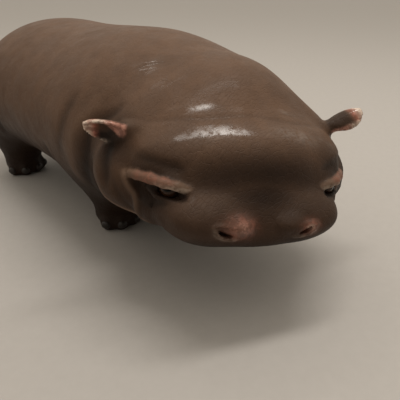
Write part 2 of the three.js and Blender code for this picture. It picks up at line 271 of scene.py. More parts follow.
SIDES = {"right": -1, "left": 1}
EAR_FRAMES = {side: turn_about(turn, "XYZ") for side, turn in EAR_TURNS.items()}


def in_ear(q, side):
    sign, frame, place = SIDES[side], EAR_FRAMES[side], EAR_PLACES[side]
    away = [sign * q[0] - place[0], q[1] - place[1], q[2] - place[2]]
    return [sum(away[i] * frame[i, k] for i in range(3)) for k in range(3)]


def ear_section(along):
    """Half width, half thickness and hollow of the ear at a part of its length."""
    root = np.clip(along / EAR_WIDEST, 0, 1)
    tip = np.clip((along - EAR_WIDEST) / (1 - EAR_WIDEST), 0, 1)
    narrow = np.sqrt(1 - tip * tip)
    swell = root * root * (3 - 2 * root)
    stalk = EAR_STALK / EAR_HALF_WIDTH
    half = EAR_HALF_WIDTH * (stalk + (1 - stalk) * swell) * narrow
    thick = EAR_STALK + (EAR_THICKNESS / 2 - EAR_STALK) * swell
    return half, thick, EAR_HOLLOW * swell * narrow


def ear_form(e):
    along = np.clip(e[0] / EAR_LENGTH, *EAR_RUN)
    past = e[0] - along * EAR_LENGTH
    half, thick, cup = ear_section(along)
    across = np.clip(np.abs(e[2]) / half, 0, 1.2)
    rim = thick * (1 - EAR_EDGE_THINNING * across)
    middle = cup * (1 - across * across) - cup / 2
    outside = np.maximum(np.abs(e[2]) - np.maximum(half - rim, 0), 0)
    return np.sqrt(outside ** 2 + (e[1] - middle) ** 2 + past ** 2) - rim


# ---------------------------------------------------------------- eyes and lids

EYE_LOOK = (0.60, -0.55, 0.58)  # the way the eye faces, in the head's frame
EYE_CORNER = (-0.785, -0.545, 0.295)  # towards its front corner
# Middle lines of the lids in the eye's frame: out, towards the front corner, up, and the lid's radius
UPPER_LID = (
    (-2, -66, 3, 3), (7, -46, 5, 4.5), (14, -24, 6.5, 5), (17, -4, 6, 4.8), (14, 12, 6, 4), (6, 26, 5, 3),
)
LOWER_LID = ((3, -28, -6, 3), (11, -12, -9.5, 4), (11, 6, -9.5, 4), (4, 24, -6, 3))
EYE_HOLLOW = ((16, -2, -4), (9, 28, 6))
EYE_COVER = 1  # thickness of the hide over the ball
EYE_GAP = 0.5  # between the ball and the lids
EYE_BULGE = 0.05  # rise of the clear front over the ball's radius
EYE_BULGE_REACH = 0.55  # radians from its middle
EYE_RINGS = 40
EYE_AROUND = 64


def unit(v):
    v = np.array(v, float)
    return v / np.linalg.norm(v)


LOOK = unit(EYE_LOOK)
CORNER = unit(np.array(EYE_CORNER, float) - LOOK * np.dot(EYE_CORNER, LOOK))
LID_UP = np.cross(CORNER, LOOK)


def in_eye(q, sign):
    away = [sign * q[0] - EYE_PLACE[0], q[1] - EYE_PLACE[1], q[2] - EYE_PLACE[2]]
    return [sum(away[i] * axis[i] for i in range(3)) for axis in (LOOK, CORNER, LID_UP)]


def lid_form(e, line):
    d = None
    for first, last in zip(line, line[1:]):
        part = taper(e, first[:3], last[:3], first[3], last[3])
        d = part if d is None else blend(d, part, 4)
    return d


def lids(d, e):
    """The hide bulges over the ball, carries both lids and is hollow under the upper one."""
    sphere = ball(e, (0, 0, 0), 0)
    d = blend(d, sphere - EYE_RADIUS - EYE_COVER, 12)
    d = blend(d, lid_form(e, UPPER_LID), 7)
    d = blend(d, lid_form(e, LOWER_LID), 6)
    d = common(d, -egg(e, *EYE_HOLLOW), 5)
    d = blend(d, lid_form(e, UPPER_LID), 3)
    return common(d, EYE_RADIUS + EYE_GAP - sphere, 1.0)


# ---------------------------------------------------------------- furrows and folds

# Lines on the head, alike on both sides, in its own frame with x outwards: half width, depth (raised
# where it is below zero), whether the line starts on the middle line, and its points
HEAD_FURROWS = {
    "lid_fold": (4, -5, False, ((161, -108, -74), (153, -130, -82), (142, -140, -89), (128, -148, -99),
                                (112, -156, -104))),
    "lid_groove": (4, 4, False, ((150, -124, -70), (140, -140, -78), (126, -152, -86), (108, -160, -90))),
    "cheek_groove": (6, 1.5, False, ((172, -104, -84), (166, -126, -94), (152, -142, -104),
                                     (134, -152, -114))),
    "jowl_groove": (9, 5, False, ((168, -56, -62), (179, -82, -78), (179, -104, -88), (174, -124, -106))),
    "jowl_rim": (5, -2.5, False, ((188, -104, -106), (182, -112, -116), (170, -127, -124), (149, -146, -118),
                                  (137, -158, -112), (127, -168, -104), (118, -176, -100))),
    "brow_groove": (7, 2, False, ((150, -108, -50), (134, -128, -34), (112, -146, -24), (90, -158, -20))),
    "mouth": (3, 5, True, ((0, -214, -98), (40, -208, -101), (76, -190, -102), (104, -164, -100),
                           (120, -140, -94), (126, -124, -84))),
    "lip_fold": (6, 2, False, ((100, -178, -62), (112, -164, -74), (122, -146, -88), (124, -134, -104))),
    "nape": (5, 0.6, True, ((0, -90, 7), (40, -92, 3), (69, -90, -2), (100, -80, -16), (125, -70, -30),
                            (140, -54, -46))),
}

# Lines on the neck and body, in the calf's own frame: half width, depth, whether the line is alike on
# both sides, and its points
BODY_FURROWS = {
    "neck_fold": (9, 3.0, False, ((-128, -270, 280), (-149, -250, 262), (-168, -215, 234), (-176, -207, 202),
                                  (-176, -197, 167), (-164, -187, 132), (-140, -190, 100))),
    "neck_roll": (13, -2.0, False, ((-140, -228, 272), (-160, -200, 250), (-178, -180, 220),
                                    (-184, -172, 190), (-178, -164, 155), (-158, -160, 120))),
    "shoulder_fold": (12, 1.8, False, ((-150, -172, 280), (-176, -152, 240), (-184, -138, 200),
                                       (-178, -124, 160))),
    "wither_fold": (3, 0.5, False, ((-108, -230, 303), (-94, -236, 311), (-77, -251, 316),
                                    (-64, -264, 318))),
    "elbow_fold": (7, 2.5, True, ((-152, -60, 180), (-148, -44, 145), (-130, -38, 112))),
    "flank_fold": (9, 2.5, True, ((-162, 170, 226), (-168, 162, 190), (-158, 168, 150), (-140, 180, 115))),
    "far_neck_fold": (7, 2.5, False, ((120, -330, 262), (146, -300, 230), (156, -272, 190),
                                      (150, -250, 150))),
    "far_shoulder_fold": (8, 2, False, ((130, -210, 290), (160, -180, 250), (174, -160, 205),
                                        (166, -146, 160))),
    "throat_fold": (7, 2.5, False, ((-120, -240, 140), (-70, -262, 118), (0, -274, 108), (70, -268, 118),
                                    (124, -250, 145))),
    "chest_fold": (7, 2, False, ((-110, -210, 100), (-50, -226, 84), (20, -230, 82), (90, -214, 98))),
}

HEAD_SPACING = 4  # millimetres between the points worked out along a furrow
BODY_SPACING = 6
FURROW_REACH = 2.6  # half widths from its line at which a furrow has ended
FURROW_FADE = 0.25  # part of its length over which a furrow fades at an end
FURROW_MARK = 0.8  # width of its painted mark, shade in a crease and highlight on a ridge, over its own half width
FULL_CREASE = 4  # depth at which the painted shade in a crease is at its darkest


def along_line(points, spacing):
    """Points every few millimetres along a smooth line through the guide points."""
    points = np.array(points, float)
    made = []
    padded = np.vstack([2 * points[0] - points[1], points, 2 * points[-1] - points[-2]])
    for k in range(1, len(padded) - 2):
        a, b, c, d = padded[k - 1:k + 3]
        count = max(2, int(np.linalg.norm(c - b) / spacing))
        for t in np.arange(count) / count:
            made.append(0.5 * (2 * b + (c - a) * t + (2 * a - 5 * b + 4 * c - d) * t * t
                               + (3 * b - a - 3 * c + d) * t ** 3))
    made.append(points[-1])
    return np.array(made)


def slope_of(form, p, step=0.4):
    grads = []
    for axis in range(3):
        high = [c.copy() for c in p]
        low = [c.copy() for c in p]
        high[axis] += step
        low[axis] -= step
        grads.append((form(high) - form(low)) / (2 * step))
    return grads


def settle(form, p, turns=3):
    """Moves points onto the surface of a form along its steepest line."""
    for _ in range(turns):
        here = form(p)
        grad = slope_of(form, p)
        square = np.maximum(sum(g * g for g in grad), 0.05)
        shift = np.clip(here / square, -6, 6)
        p = [p[i] - shift * grad[i] for i in range(3)]
    return p


def calf_form(p):
    return blend(head_form(p), trunk_form(p), HEAD_SOFTNESS)


class Furrows:
    """Lines pressed into the skin, or raised from it, settled on the calf's surface."""

    def __init__(self):
        self.lines = []
        for width, depth, from_middle, points in HEAD_FURROWS.values():
            for sign in (-1, 1):
                line = along_line(points, HEAD_SPACING) * (sign, 1, 1)
                self.add(width, depth, from_middle, np.array([from_head(q) for q in line]))
        for width, depth, both_sides, points in BODY_FURROWS.values():
            for sign in (1, -1) if both_sides else (1,):
                self.add(width, depth, False, along_line(points, BODY_SPACING) * (sign, 1, 1))

    def add(self, width, depth, from_middle, line):
        line = np.array(settle(calf_form, list(line.T), 8)).T
        self.lines.append((width, depth, from_middle, line))

    def press(self, p):
        """How far the skin is pressed in at each point, with the painted shade of its creases and the
        painted highlight of its ridges.
        """
        total, crease_shade, ridge_highlight = (np.zeros_like(p[0]) for _ in range(3))
        stack = np.stack(p, 1)
        for width, depth, from_middle, line in self.lines:
            reach = FURROW_REACH * width
            low, high = line.min(0) - reach, line.max(0) + reach
            close = np.where(((stack > low) & (stack < high)).all(1))[0]
            if not len(close):
                continue
            spots = stack[close]
            best = np.full(len(close), np.inf)
            place = np.zeros(len(close))
            for k in range(len(line) - 1):
                a, run = line[k], line[k + 1] - line[k]
                t = np.clip((spots - a) @ run / max(run @ run, 1e-9), 0, 1)
                away = np.linalg.norm(spots - a - t[:, None] * run, axis=1)
                closer = away < best
                best = np.where(closer, away, best)
                place = np.where(closer, (k + t) / (len(line) - 1), place)
            left = 1 - place if from_middle else np.minimum(place, 1 - place)
            ends = soft_step(left, 0, FURROW_FADE)
            total[close] += depth * np.exp(-((best / width) ** 2)) * ends
            mark = np.exp(-((best / (FURROW_MARK * width)) ** 2)) * ends
            # a crease gets painted shade, a raised line a painted highlight
            kind, strength = (crease_shade, depth / FULL_CREASE) if depth > 0 else (ridge_highlight, -2 * depth / width)
            kind[close] = np.maximum(kind[close], mark * min(1, strength))
        return total, crease_shade, ridge_highlight


furrows = Furrows()

# ---------------------------------------------------------------- nostrils

NOSTRIL_PLACE = (53, -225, -50)  # in the head's frame, on the muzzle's front corner
NOSTRIL_OUT = (0.03, -0.80, 0.60)
NOSTRIL_LONG = (0.92, 0.18, 0.34)
NOSTRIL_RIM = (7, 14, 2.8)  # half width, half length and thickness of the raised rim
NOSTRIL_SLIT = (9, 2.4, 11)  # depth, half width and half length of the opening
NOSTRIL_BOW = 4  # how far the opening is bent sideways
NOSTRIL_MOUND = ((34, -217, -48), (17, 12, 9))
MOUND_SOFTNESS = 10

FURROW_ZONE = 30  # millimetres from the skin's surface within which furrows are worked out
EYE_ZONE = 62  # the same from an eye's middle for its lids
NOSTRIL_ZONE = 30

NOSTRIL_FACE = unit(NOSTRIL_OUT)
NOSTRIL_UP = unit(np.array(NOSTRIL_LONG, float) - NOSTRIL_FACE * np.dot(NOSTRIL_LONG, NOSTRIL_FACE))
NOSTRIL_SIDE = np.cross(NOSTRIL_UP, NOSTRIL_FACE)


def in_nostril(q, sign):
    away = [sign * q[0] - NOSTRIL_PLACE[0], q[1] - NOSTRIL_PLACE[1], q[2] - NOSTRIL_PLACE[2]]
    return [sum(away[i] * axis[i] for i in range(3)) for axis in (NOSTRIL_FACE, NOSTRIL_SIDE, NOSTRIL_UP)]


def nostril(d, n):
    """A raised rim around a bowed slit."""
    out, side, up = n
    wide, long, thick = NOSTRIL_RIM
    ring = (np.hypot(side / wide, up / long) - 1) * (wide + long) / 2
    d = blend(d, np.hypot(ring, out) - thick, 5)
    bowed = side - NOSTRIL_BOW * (1 - (up / long) ** 2)
    return common(d, -egg([out, bowed, up], (0, -1, 0), NOSTRIL_SLIT), 2.2)


def skin_form(p):
    q = in_head(p)
    d = calf_form(p)
    close = np.where(d < FURROW_ZONE)[0]
    pressed, _, _ = furrows.press([c[close] for c in p])
    d[close] += pressed
    for side, sign in SIDES.items():
        d = blend(d, ear_form(in_ear(q, side)), EAR_SOFTNESS)
        d = blend(d, egg([sign * q[0], q[1], q[2]], *NOSTRIL_MOUND), MOUND_SOFTNESS)
        for zone, place, shape in ((EYE_ZONE, in_eye, lids), (NOSTRIL_ZONE, in_nostril, nostril)):
            spot = place(q, sign)
            close = np.where(ball(spot, (0, 0, 0), zone) < 0)[0]
            if len(close):
                d[close] = shape(d[close], [c[close] for c in spot])
    tail = taper([p[0] * TAIL_FLATNESS, p[1], p[2]], TAIL_ROOT, TAIL_TIP, *TAIL_RADII)
    d = blend(d, tail, TAIL_SOFTNESS)
    return np.maximum(d, -p[2])


# ---------------------------------------------------------------- meshes

COARSE = 4  # the form is first felt for at every fourth grid line
COARSE_MARGIN = 1.3  # how much wider than a coarse cell the zone looked at again is
CHUNK = 400000  # points worked out at a time


def grid_values(form, lines):
    """The form at every grid point: exact near its surface, and of the right sign elsewhere."""
    spots = [l[::COARSE] for l in lines]
    gx, gy, gz = np.meshgrid(*spots, indexing="ij")
    rough = form([gx.ravel(), gy.ravel(), gz.ravel()]).reshape(gx.shape)
    index = [np.minimum((np.arange(len(l)) + COARSE // 2) // COARSE, len(s) - 1)
             for l, s in zip(lines, spots)]
    value = rough[np.ix_(*index)]
    reach = COARSE_MARGIN * math.sqrt(sum(max(np.diff(l)) ** 2 for l in lines)) * COARSE
    where = np.nonzero(np.abs(value) < reach)
    at = [lines[a][where[a]] for a in range(3)]
    parts = [form([c[k:k + CHUNK] for c in at]) for k in range(0, len(at[0]), CHUNK)]
    value[where] = np.concatenate(parts)
    return value


def cell_points(value, lines, cell):
    """A point in each cell: the mean of the places where the surface crosses the cell's edges."""
    total = np.zeros((3, cell.shape[1]))
    hits = np.zeros(cell.shape[1])
    for axis in range(3):
        others = [a for a in range(3) if a != axis]
        for u, v in ((0, 0), (0, 1), (1, 0), (1, 1)):
            start = cell.copy()
            start[others[0]] += u
            start[others[1]] += v
            end = start.copy()
            end[axis] += 1
            a, b = value[tuple(start)], value[tuple(end)]
            cross = (a < 0) != (b < 0)
            part = np.where(cross, a / np.where(cross, a - b, 1), 0)
            for k in range(3):
                first = lines[k][start[k]]
                spot = first + (lines[k][end[k]] - first) * part
                total[k] += np.where(cross, spot, 0)
            hits += cross
    return total / np.maximum(hits, 1)


def edge_quads(inside, ids):
    """A quad around each grid edge that the surface crosses, facing out; ids number the cells' points."""
    quads = []
    for axis in range(3):
        b, c = (axis + 1) % 3, (axis + 2) % 3
        slots = [slice(1, n - 1) for n in inside.shape]
        slots[axis] = slice(0, inside.shape[axis] - 1)
        here = inside[tuple(slots)]
        slots[axis] = slice(1, inside.shape[axis])
        there = inside[tuple(slots)]
        for flip, mask in ((False, here & ~there), (True, ~here & there)):
            spot = np.array(np.nonzero(mask))
            spot[b] += 1
            spot[c] += 1
            ring = []
            for db, dc in ((-1, -1), (0, -1), (0, 0), (-1, 0)):
                corner = spot.copy()
                corner[b] += db
                corner[c] += dc
                ring.append(ids[tuple(corner)])
            ring = np.stack(ring, 1)
            quads.append(ring[:, ::-1] if flip else ring)
    return np.concatenate(quads)


def surface_nets(form, lines):
    """A closed quad mesh of the form's surface on a grid with uneven spacing."""
    value = grid_values(form, lines)
    inside = value < 0
    corners = [(i, j, k) for i in (0, 1) for j in (0, 1) for k in (0, 1)]
    shifted = [tuple(slice(c[a], n - 1 + c[a]) for a, n in enumerate(inside.shape)) for c in corners]
    count = sum(inside[slots].astype(np.int8) for slots in shifted)
    mixed = (count > 0) & (count < 8)
    ids = -np.ones(mixed.shape, np.int64)
    ids[mixed] = np.arange(mixed.sum())
    vertices = cell_points(value, lines, np.array(np.nonzero(mixed)))
    return list(vertices), edge_quads(inside, ids)


# The skin's grid in millimetres: start, end and spacing, finest over the head
GRID_ACROSS = (-215, 215, 2.7)
GRID_FRONT = (-560, -190, 2.4)
GRID_JOIN = 5  # from the front's last line to the rear's first
GRID_REAR = (400, 5.5)  # end and spacing
GRID_UP = (-12, 372, 2.7)
GRID_SCALE = 1.0


def grid_lines(start, end, spacing):
    step = spacing * GRID_SCALE
    return np.arange(start, end + step, step)


def skin_lines():
    front = grid_lines(*GRID_FRONT)
    end, spacing = GRID_REAR
    rear = np.arange(front[-1] + GRID_JOIN * GRID_SCALE, end, spacing * GRID_SCALE)
    return [grid_lines(*GRID_ACROSS), np.concatenate([front, rear]), grid_lines(*GRID_UP)]


eye_low, eye_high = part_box("eye_left")
shift = np.array((eye_low + eye_high) / 2) / MM - from_head(EYE_PLACE)
shift[2] = 0  # the soles lie on one level in both frames


def to_part(vertices):
    """From the calf's own frame in millimetres to the part's frame in metres."""
    return (np.stack(vertices, 1) + shift) * MM


def show(name, data):
    made = bpy.data.objects.new(name, data)
    bpy.context.scene.collection.objects.link(made)
    return made


def fill_mesh(name, vertices, faces):
    mesh = bpy.data.meshes.new(name)
    mesh.from_pydata(vertices, [], faces)
    mesh.shade_smooth()
    mesh.validate()
    return show(name, mesh)


def round_mesh(name, rings, around, spot):
    """A closed round mesh with a point at each pole, and its points in the calf's own frame.

    spot gives the place at an angle from the first pole and an angle around it.
    """
    turns = [2 * math.pi * k / around for k in range(around)]
    spots = [spot(0, 0)]
    spots += [spot(math.pi * r / rings, turn) for r in range(1, rings) for turn in turns]
    spots.append(spot(math.pi, 0))
    faces = []
    last = len(spots) - 1
    for k in range(around):
        n = (k + 1) % around
        faces.append((0, 1 + k, 1 + n))
        for start in range(1, last - around, around):
            faces.append((start + k, start + around + k, start + around + n, start + n))
        faces.append((last - around + k, last, last - around + n))
    spots = np.array(spots).T
    return fill_mesh(name, to_part(spots), faces), spots


def add_mask(piece, name, values):
    mask = piece.data.attributes.new(name, "FLOAT", "POINT")
    mask.data.foreach_set("value", np.asarray(values, np.float32))


# ---------------------------------------------------------------- marks on the hide, and the eyeballs

# In the head's frame: middle, reach and strength of painted shade on the face, cheeks, chin and below the
# ear, alike on both sides
PAINTED_SHADE_PLACES = (
    ((0, -165, -20), (150, 26, 60), 0.9),
    ((0, -188, -30), (64, 26, 40), 0.9),
    ((0, -200, -40), (130, 30, 50), 0.6),
    ((125, -150, -60), (60, 44, 60), 0.95),
    ((60, -238, -84), (110, 20, 24), 0.95),
    ((160, -70, -70), (34, 40, 44), 0.9),
    ((190, -40, -120), (40, 50, 60), 0.7),
)
# The same painted shade on the neck, below the ear and between its folds, in the calf's own frame
BODY_PAINTED_SHADE_PLACES = (
    ((-172, -200, 160), (30, 30, 60), 0.7),
    ((-150, -230, 110), (60, 60, 50), 0.7),
)
# Where the hide stays wettest and shines: the crown and the roll of the nape, then the withers
WET_PLACES = (
    ((52, -118, 0), (42, 12, 14), 1),
    ((106, -112, -13), (32, 7, 12), 0.3),
    ((62, -72, 1), (17, 3.6, 8), 0.9),
    ((96, -64, -12), (20, 3, 8), 0.3),
)
BODY_WET_PLACES = (
    ((-86, -244, 314), (16, 8, 10), 0.5),
)
# The bare pink patch beside each nostril: middle and reach
NOSTRIL_BLUSH = {"right": ((35, -221, -47), (17, 12, 12)), "left": ((59, -224, -48), (12, 8, 9))}
NOSTRIL_SHADE = ((-4, 2, 0), (10, 6, 13))  # painted shade inside the opening, in the nostril's frame
PAINTED_SHADE_HEIGHTS = (250, 95)  # heights between which painted shade darkens the hide downwards
SKIN_MASKS = ("crease_shade", "ridge_highlight", "pink", "pale", "shade", "wet", "low")


class Marks:
    """Masks on the skin's points, each as strong as the strongest mark laid there."""

    def __init__(self, count):
        self.masks = {name: np.zeros(count) for name in SKIN_MASKS}

    def lay(self, name, values):
        self.masks[name] = np.maximum(self.masks[name], values)

    def lay_places(self, name, q, places):
        for place, size, strength in places:
            self.lay(name, strength * near(q, place, size))


def mark_ear(marks, q, side):
    """A pale wedge on the leaf's hollow face, pink near the root and at the tip; painted shade fills the
    rest of the hollow, and the back is darker short of the tip.
    """
    e = in_ear(q, side)
    along = e[0] / EAR_LENGTH
    edge = e[2] / ear_section(np.clip(along, *EAR_RUN))[0]
    on_ear = soft_step(ear_form(e), 4, 0.5) * soft_step(e[0], -6, 6)
    face = soft_step(e[1], 3, -2)
    wedge = soft_step(edge - 2 * along + 0.9, 0, 0.3) * soft_step(along, 0, 0.12) * face
    wedge = wedge * on_ear
    marks.lay("pale", wedge * (0.25 + 0.65 * soft_step(along, 0.4, 0.65)))
    marks.lay("pale", on_ear * soft_step(along, 0.74, 0.92))
    marks.lay("pale", on_ear * soft_step(edge, -0.8, -1.0) * soft_step(along, 0.3, 0.6) * face * 0.6)
    marks.lay("pink", wedge * soft_step(along, 0.7, 0.45))
    marks.lay("pink", on_ear * soft_step(along, 0.62, 0.82))
    # painted shade in the hollow, then the darker back
    marks.lay("shade", on_ear * (1 - wedge) * face)
    marks.lay("shade", on_ear * 0.7 * (1 - face) * soft_step(along, 0.78, 0.55))


def mark_lids(marks, q, sign):
    """The upper lid carries a painted highlight and is pinkish behind; in front its pale edge has a painted
    highlight on it; painted shade fills the hollow under it.
    """
    out, corner, up = in_eye(q, sign)
    lid = soft_step(np.abs(lid_form([out, corner, up], UPPER_LID)), 3.5, 1.0)
    rear = soft_step(corner, 16, -4)
    # painted highlight along the lid
    marks.lay("ridge_highlight", lid * 0.5)
    marks.lay("pink", lid * rear * soft_step(corner, -60, -34) * 0.28)
    # pale front edge of the lid, with a painted highlight on it
    marks.lay("pale", lid * soft_step(corner, -24, 0) * soft_step(up, 8, 4) * 0.45)
    # painted shade in the hollow under the lid
    marks.lay("shade", soft_step(egg([out, corner, up], *EYE_HOLLOW), 7, 0))


def mark_nostril(marks, q, side, sign):
    """A wet pink patch beside the nostril with pale specks, pale skin and painted glints in one; a pale half
    rim; painted shade in the opening.
    """
    out, across, up = in_nostril(q, sign)
    blush = near([sign * q[0], q[1], q[2]], *NOSTRIL_BLUSH[side])
    marks.lay("pink", blush * 0.7)
    # pale specks: pale skin and painted glints in one
    marks.lay("pale", 0.8 * blush ** 4)
    marks.lay("wet", blush)
    rim = np.exp(-((np.hypot(across / 8, up / 15) - 1) / 0.3) ** 2 - (out / 8) ** 2)
    marks.lay("pale", rim * 0.22 * soft_step(across, -4, 6))
    # painted shade inside the opening
    opening = soft_step(egg([out, across, up], *NOSTRIL_SHADE), 1, -3)
    marks.lay("shade", (1 - blush) * opening * (out < 1))


def make_skin():
    vertices, quads = surface_nets(skin_form, skin_lines())
    vertices = settle(skin_form, vertices, 3)
    vertices[2] = np.maximum(vertices[2], 0)
    skin = fill_mesh("skin", to_part(vertices), quads)
    q = in_head(vertices)
    marks = Marks(len(vertices[0]))
    _, crease_shade, ridge_highlight = furrows.press(vertices)
    marks.lay("crease_shade", crease_shade)
    marks.lay("ridge_highlight", ridge_highlight)
    for side, sign in SIDES.items():
        mark_ear(marks, q, side)
        mark_lids(marks, q, sign)
        mark_nostril(marks, q, side, sign)
        outwards = [sign * q[0], q[1], q[2]]
        # painted shade on the face
        marks.lay_places("shade", outwards, PAINTED_SHADE_PLACES)
        marks.lay_places("wet", outwards, WET_PLACES)
    # painted shade on the neck
    marks.lay_places("shade", vertices, BODY_PAINTED_SHADE_PLACES)
    marks.lay_places("wet", vertices, BODY_WET_PLACES)
    marks.lay("wet", marks.masks["pink"])
    # painted shade, stronger towards the floor
    marks.lay("low", soft_step(vertices[2], *PAINTED_SHADE_HEIGHTS))
    for name, values in marks.masks.items():
        add_mask(skin, name, values)
    return skin


def eyeball(name, sign):
    """A ball with a slightly raised clear front, its pole along the way the eye faces."""
    upright = -sign * LID_UP  # keeps the faces outwards on both sides

    def spot(polar, turn):
        bulge = 1 + EYE_BULGE * math.exp(-((polar / EYE_BULGE_REACH) ** 2))
        ring = CORNER * math.cos(turn) + upright * math.sin(turn)
        q = EYE_PLACE + (LOOK * math.cos(polar) + ring * math.sin(polar)) * EYE_RADIUS * bulge
        q[0] *= sign
        return from_head(q)

    eye, spots = round_mesh(name, EYE_RINGS, EYE_AROUND, spot)
    _, along, up = in_eye(in_head(spots), sign)
    add_mask(eye, "along", along / EYE_RADIUS)
    add_mask(eye, "up", up / EYE_RADIUS)
    return eye


# ---------------------------------------------------------------- materials


class Number:
    """A shader value that ordinary arithmetic works on."""

    def __init__(self, nodes, socket):
        self.nodes = nodes
        self.socket = socket

    def _do(self, operation, *values):
        return self.nodes.node("ShaderNodeMath", {"operation": operation}, dict(enumerate(values)))

    def __add__(self, other):
        return self._do("ADD", self, other)

    def __sub__(self, other):
        return self._do("SUBTRACT", self, other)

    def __mul__(self, other):
        return self._do("MULTIPLY", self, other)

    def __pow__(self, other):
        return self._do("POWER", self, other)

    def __radd__(self, other):
        return self._do("ADD", other, self)

    def __rsub__(self, other):
        return self._do("SUBTRACT", other, self)

    def __rmul__(self, other):
        return self._do("MULTIPLY", other, self)

    def clamp(self):
        return self.nodes.node("ShaderNodeClamp", {}, {"Value": self})


class Nodes:
    """A node tree, built node by node."""

    def __init__(self, tree):
        self.tree = tree

    def link(self, socket, value):
        if isinstance(value, Number):
            self.tree.links.new(value.socket, socket)
        else:
            socket.default_value = value

    def node(self, kind, settings=None, values=None, output=0):
        made = self.tree.nodes.new(kind)
        for name, value in (settings or {}).items():
            setattr(made, name, value)
        for key, value in (values or {}).items():
            self.link(made.inputs[key], value)
        return Number(self, made.outputs[output])

    def mask(self, name):
        return self.node("ShaderNodeAttribute", {"attribute_name": name}, output="Fac")

    def place(self):
        return self.node("ShaderNodeTexCoord", output="Object")

    def noise(self, scale, detail, rough):
        values = {"Vector": self.place(), "Scale": scale, "Detail": detail, "Roughness": rough}
        return self.node("ShaderNodeTexNoise", {}, values, "Fac")

    def mix(self, part, first, second):
        """One colour into another; of the node's sockets, 0, 6 and 7 serve colours."""
        values = {0: part, 6: first, 7: second}
        return self.node("ShaderNodeMix", {"data_type": "RGBA"}, values, 2)

    def smooth(self, value, low, high):
        settings = {"interpolation_type": "SMOOTHSTEP"}
        return self.node("ShaderNodeMapRange", settings, {"Value": value, "From Min": low, "From Max": high})

    def bump(self, height, distance, strength, after=None):
        values = {"Height": height, "Distance": distance, "Strength": strength}
        if after is not None:
            values["Normal"] = after
        return self.node("ShaderNodeBump", {}, values)


class Finish(Nodes):
    """A procedural material on the Principled shader."""

    def __init__(self, name):
        self.material = bpy.data.materials.new(name)
        self.material.use_nodes = True
        super().__init__(self.material.node_tree)
        self.shader = self.tree.nodes["Principled BSDF"]

    def set(self, **values):
        for name, value in values.items():
            self.link(self.shader.inputs[name.replace("_", " ")], value)
        return self.material


def linear(level):
    """Light of an ordinary 0 to 255 colour value."""
    v = level / 255
    return v / 12.92 if v <= 0.04045 else ((v + 0.055) / 1.055) ** 2.4


def rgb(r, g, b):
    return (linear(r), linear(g), linear(b), 1)


HIDE = (rgb(109, 83, 65), rgb(90, 67, 51))  # the two browns that cloud over each other
HIDE_PATCH = rgb(118, 89, 68)
HIDE_PORE = rgb(58, 40, 28)
# painted shade on the lower body and legs
PAINTED_SHADE_BELOW = rgb(30, 16, 8)
# painted shade, mixed in by the shade mask
PAINTED_SHADE_COLOUR = rgb(24, 12, 6)
# painted highlight on raised folds, then painted shade in creases
RIDGE_HIGHLIGHT_COLOUR = rgb(150, 121, 100)
CREASE_SHADE_COLOUR = rgb(16, 8, 4)
BARE_PINK = rgb(186, 112, 92)
# pale skin, and painted highlight on the lid's front edge and the nostril's glints
PALE_SKIN_AND_HIGHLIGHT = rgb(226, 206, 188)
IRIS = (rgb(38, 22, 13), rgb(66, 42, 26))
EYE_EDGE = rgb(40, 27, 21)
PUPIL = rgb(5, 4, 4)
NAIL = (rgb(26, 20, 16), rgb(50, 40, 34))
FLOOR = (rgb(184, 179, 174), rgb(193, 188, 183))


def wet_hide():
    f = Finish("wet_hide")
    crease_shade, ridge_highlight, pink, pale, shade, wet, low = (f.mask(name) for name in SKIN_MASKS)
    cloud = f.noise(7.0, 4.0, 0.55)
    patch = f.smooth(f.noise(26.0, 5.0, 0.6), 0.38, 0.66)
    fine = f.noise(420.0, 3.0, 0.6)
    colour = f.mix(cloud, *HIDE)
    colour = f.mix(patch * 0.4, colour, HIDE_PATCH)
    colour = f.mix(f.smooth(fine, 0.5, 0.8) * 0.35, colour, HIDE_PORE)
    # painted shade, darker towards the floor
    colour = f.mix(low * 0.9, colour, PAINTED_SHADE_BELOW)
    # painted shade where the shade mask lies
    colour = f.mix(shade * 0.9, colour, PAINTED_SHADE_COLOUR)
    # painted highlight on raised folds, then painted shade in creases
    colour = f.mix(ridge_highlight * 0.75, colour, RIDGE_HIGHLIGHT_COLOUR)
    colour = f.mix((crease_shade * 0.95).clamp(), colour, CREASE_SHADE_COLOUR)
    mottle = f.smooth(f.noise(130.0, 4.0, 0.6), 0.42, 0.58)
    colour = f.mix((pink * (0.5 + mottle * 0.5)).clamp(), colour, BARE_PINK)
    # pale skin and painted highlight
    colour = f.mix((pale * (0.35 + mottle * 0.65)).clamp(), colour, PALE_SKIN_AND_HIGHLIGHT)

    # Broad swells, then the film of water, then cracks and grain
    drops = f.noise(85.0, 3.0, 0.6)
    stretched = f.node("ShaderNodeMapping", {}, {"Vector": f.place(), "Scale": (1.0, 2.6, 1.0)})
    net = f.node("ShaderNodeTexVoronoi", {"feature": "DISTANCE_TO_EDGE"},
                 {"Vector": stretched, "Scale": 95.0, "Randomness": 1.0}, "Distance")
    cracks = f.smooth(net, 0.0, 0.09)
    height = cracks * 0.5 + f.noise(160.0, 3.0, 0.6) * 0.6 + fine * 0.2
    swells = f.bump(f.noise(34.0, 3.0, 0.55), 0.004, 0.45)
    film = f.bump(drops * wet, 0.0022, 1.0, swells)
    normal = f.bump(height, 0.0008, 0.6, film)

    gloss = wet * f.smooth(drops, 0.34, 0.58)
    rough = 0.48 + f.smooth(f.noise(38.0, 4.0, 0.6), 0.3, 0.75) * 0.14 + fine * 0.06 - gloss * 0.16
    f.set(Base_Color=colour, Roughness=rough, Normal=normal, Specular_IOR_Level=0.2)
    return f.set(Coat_Weight=(gloss * 0.97 + 0.03) * (1 - shade * 0.8), Coat_Roughness=0.1, Coat_IOR=1.45)


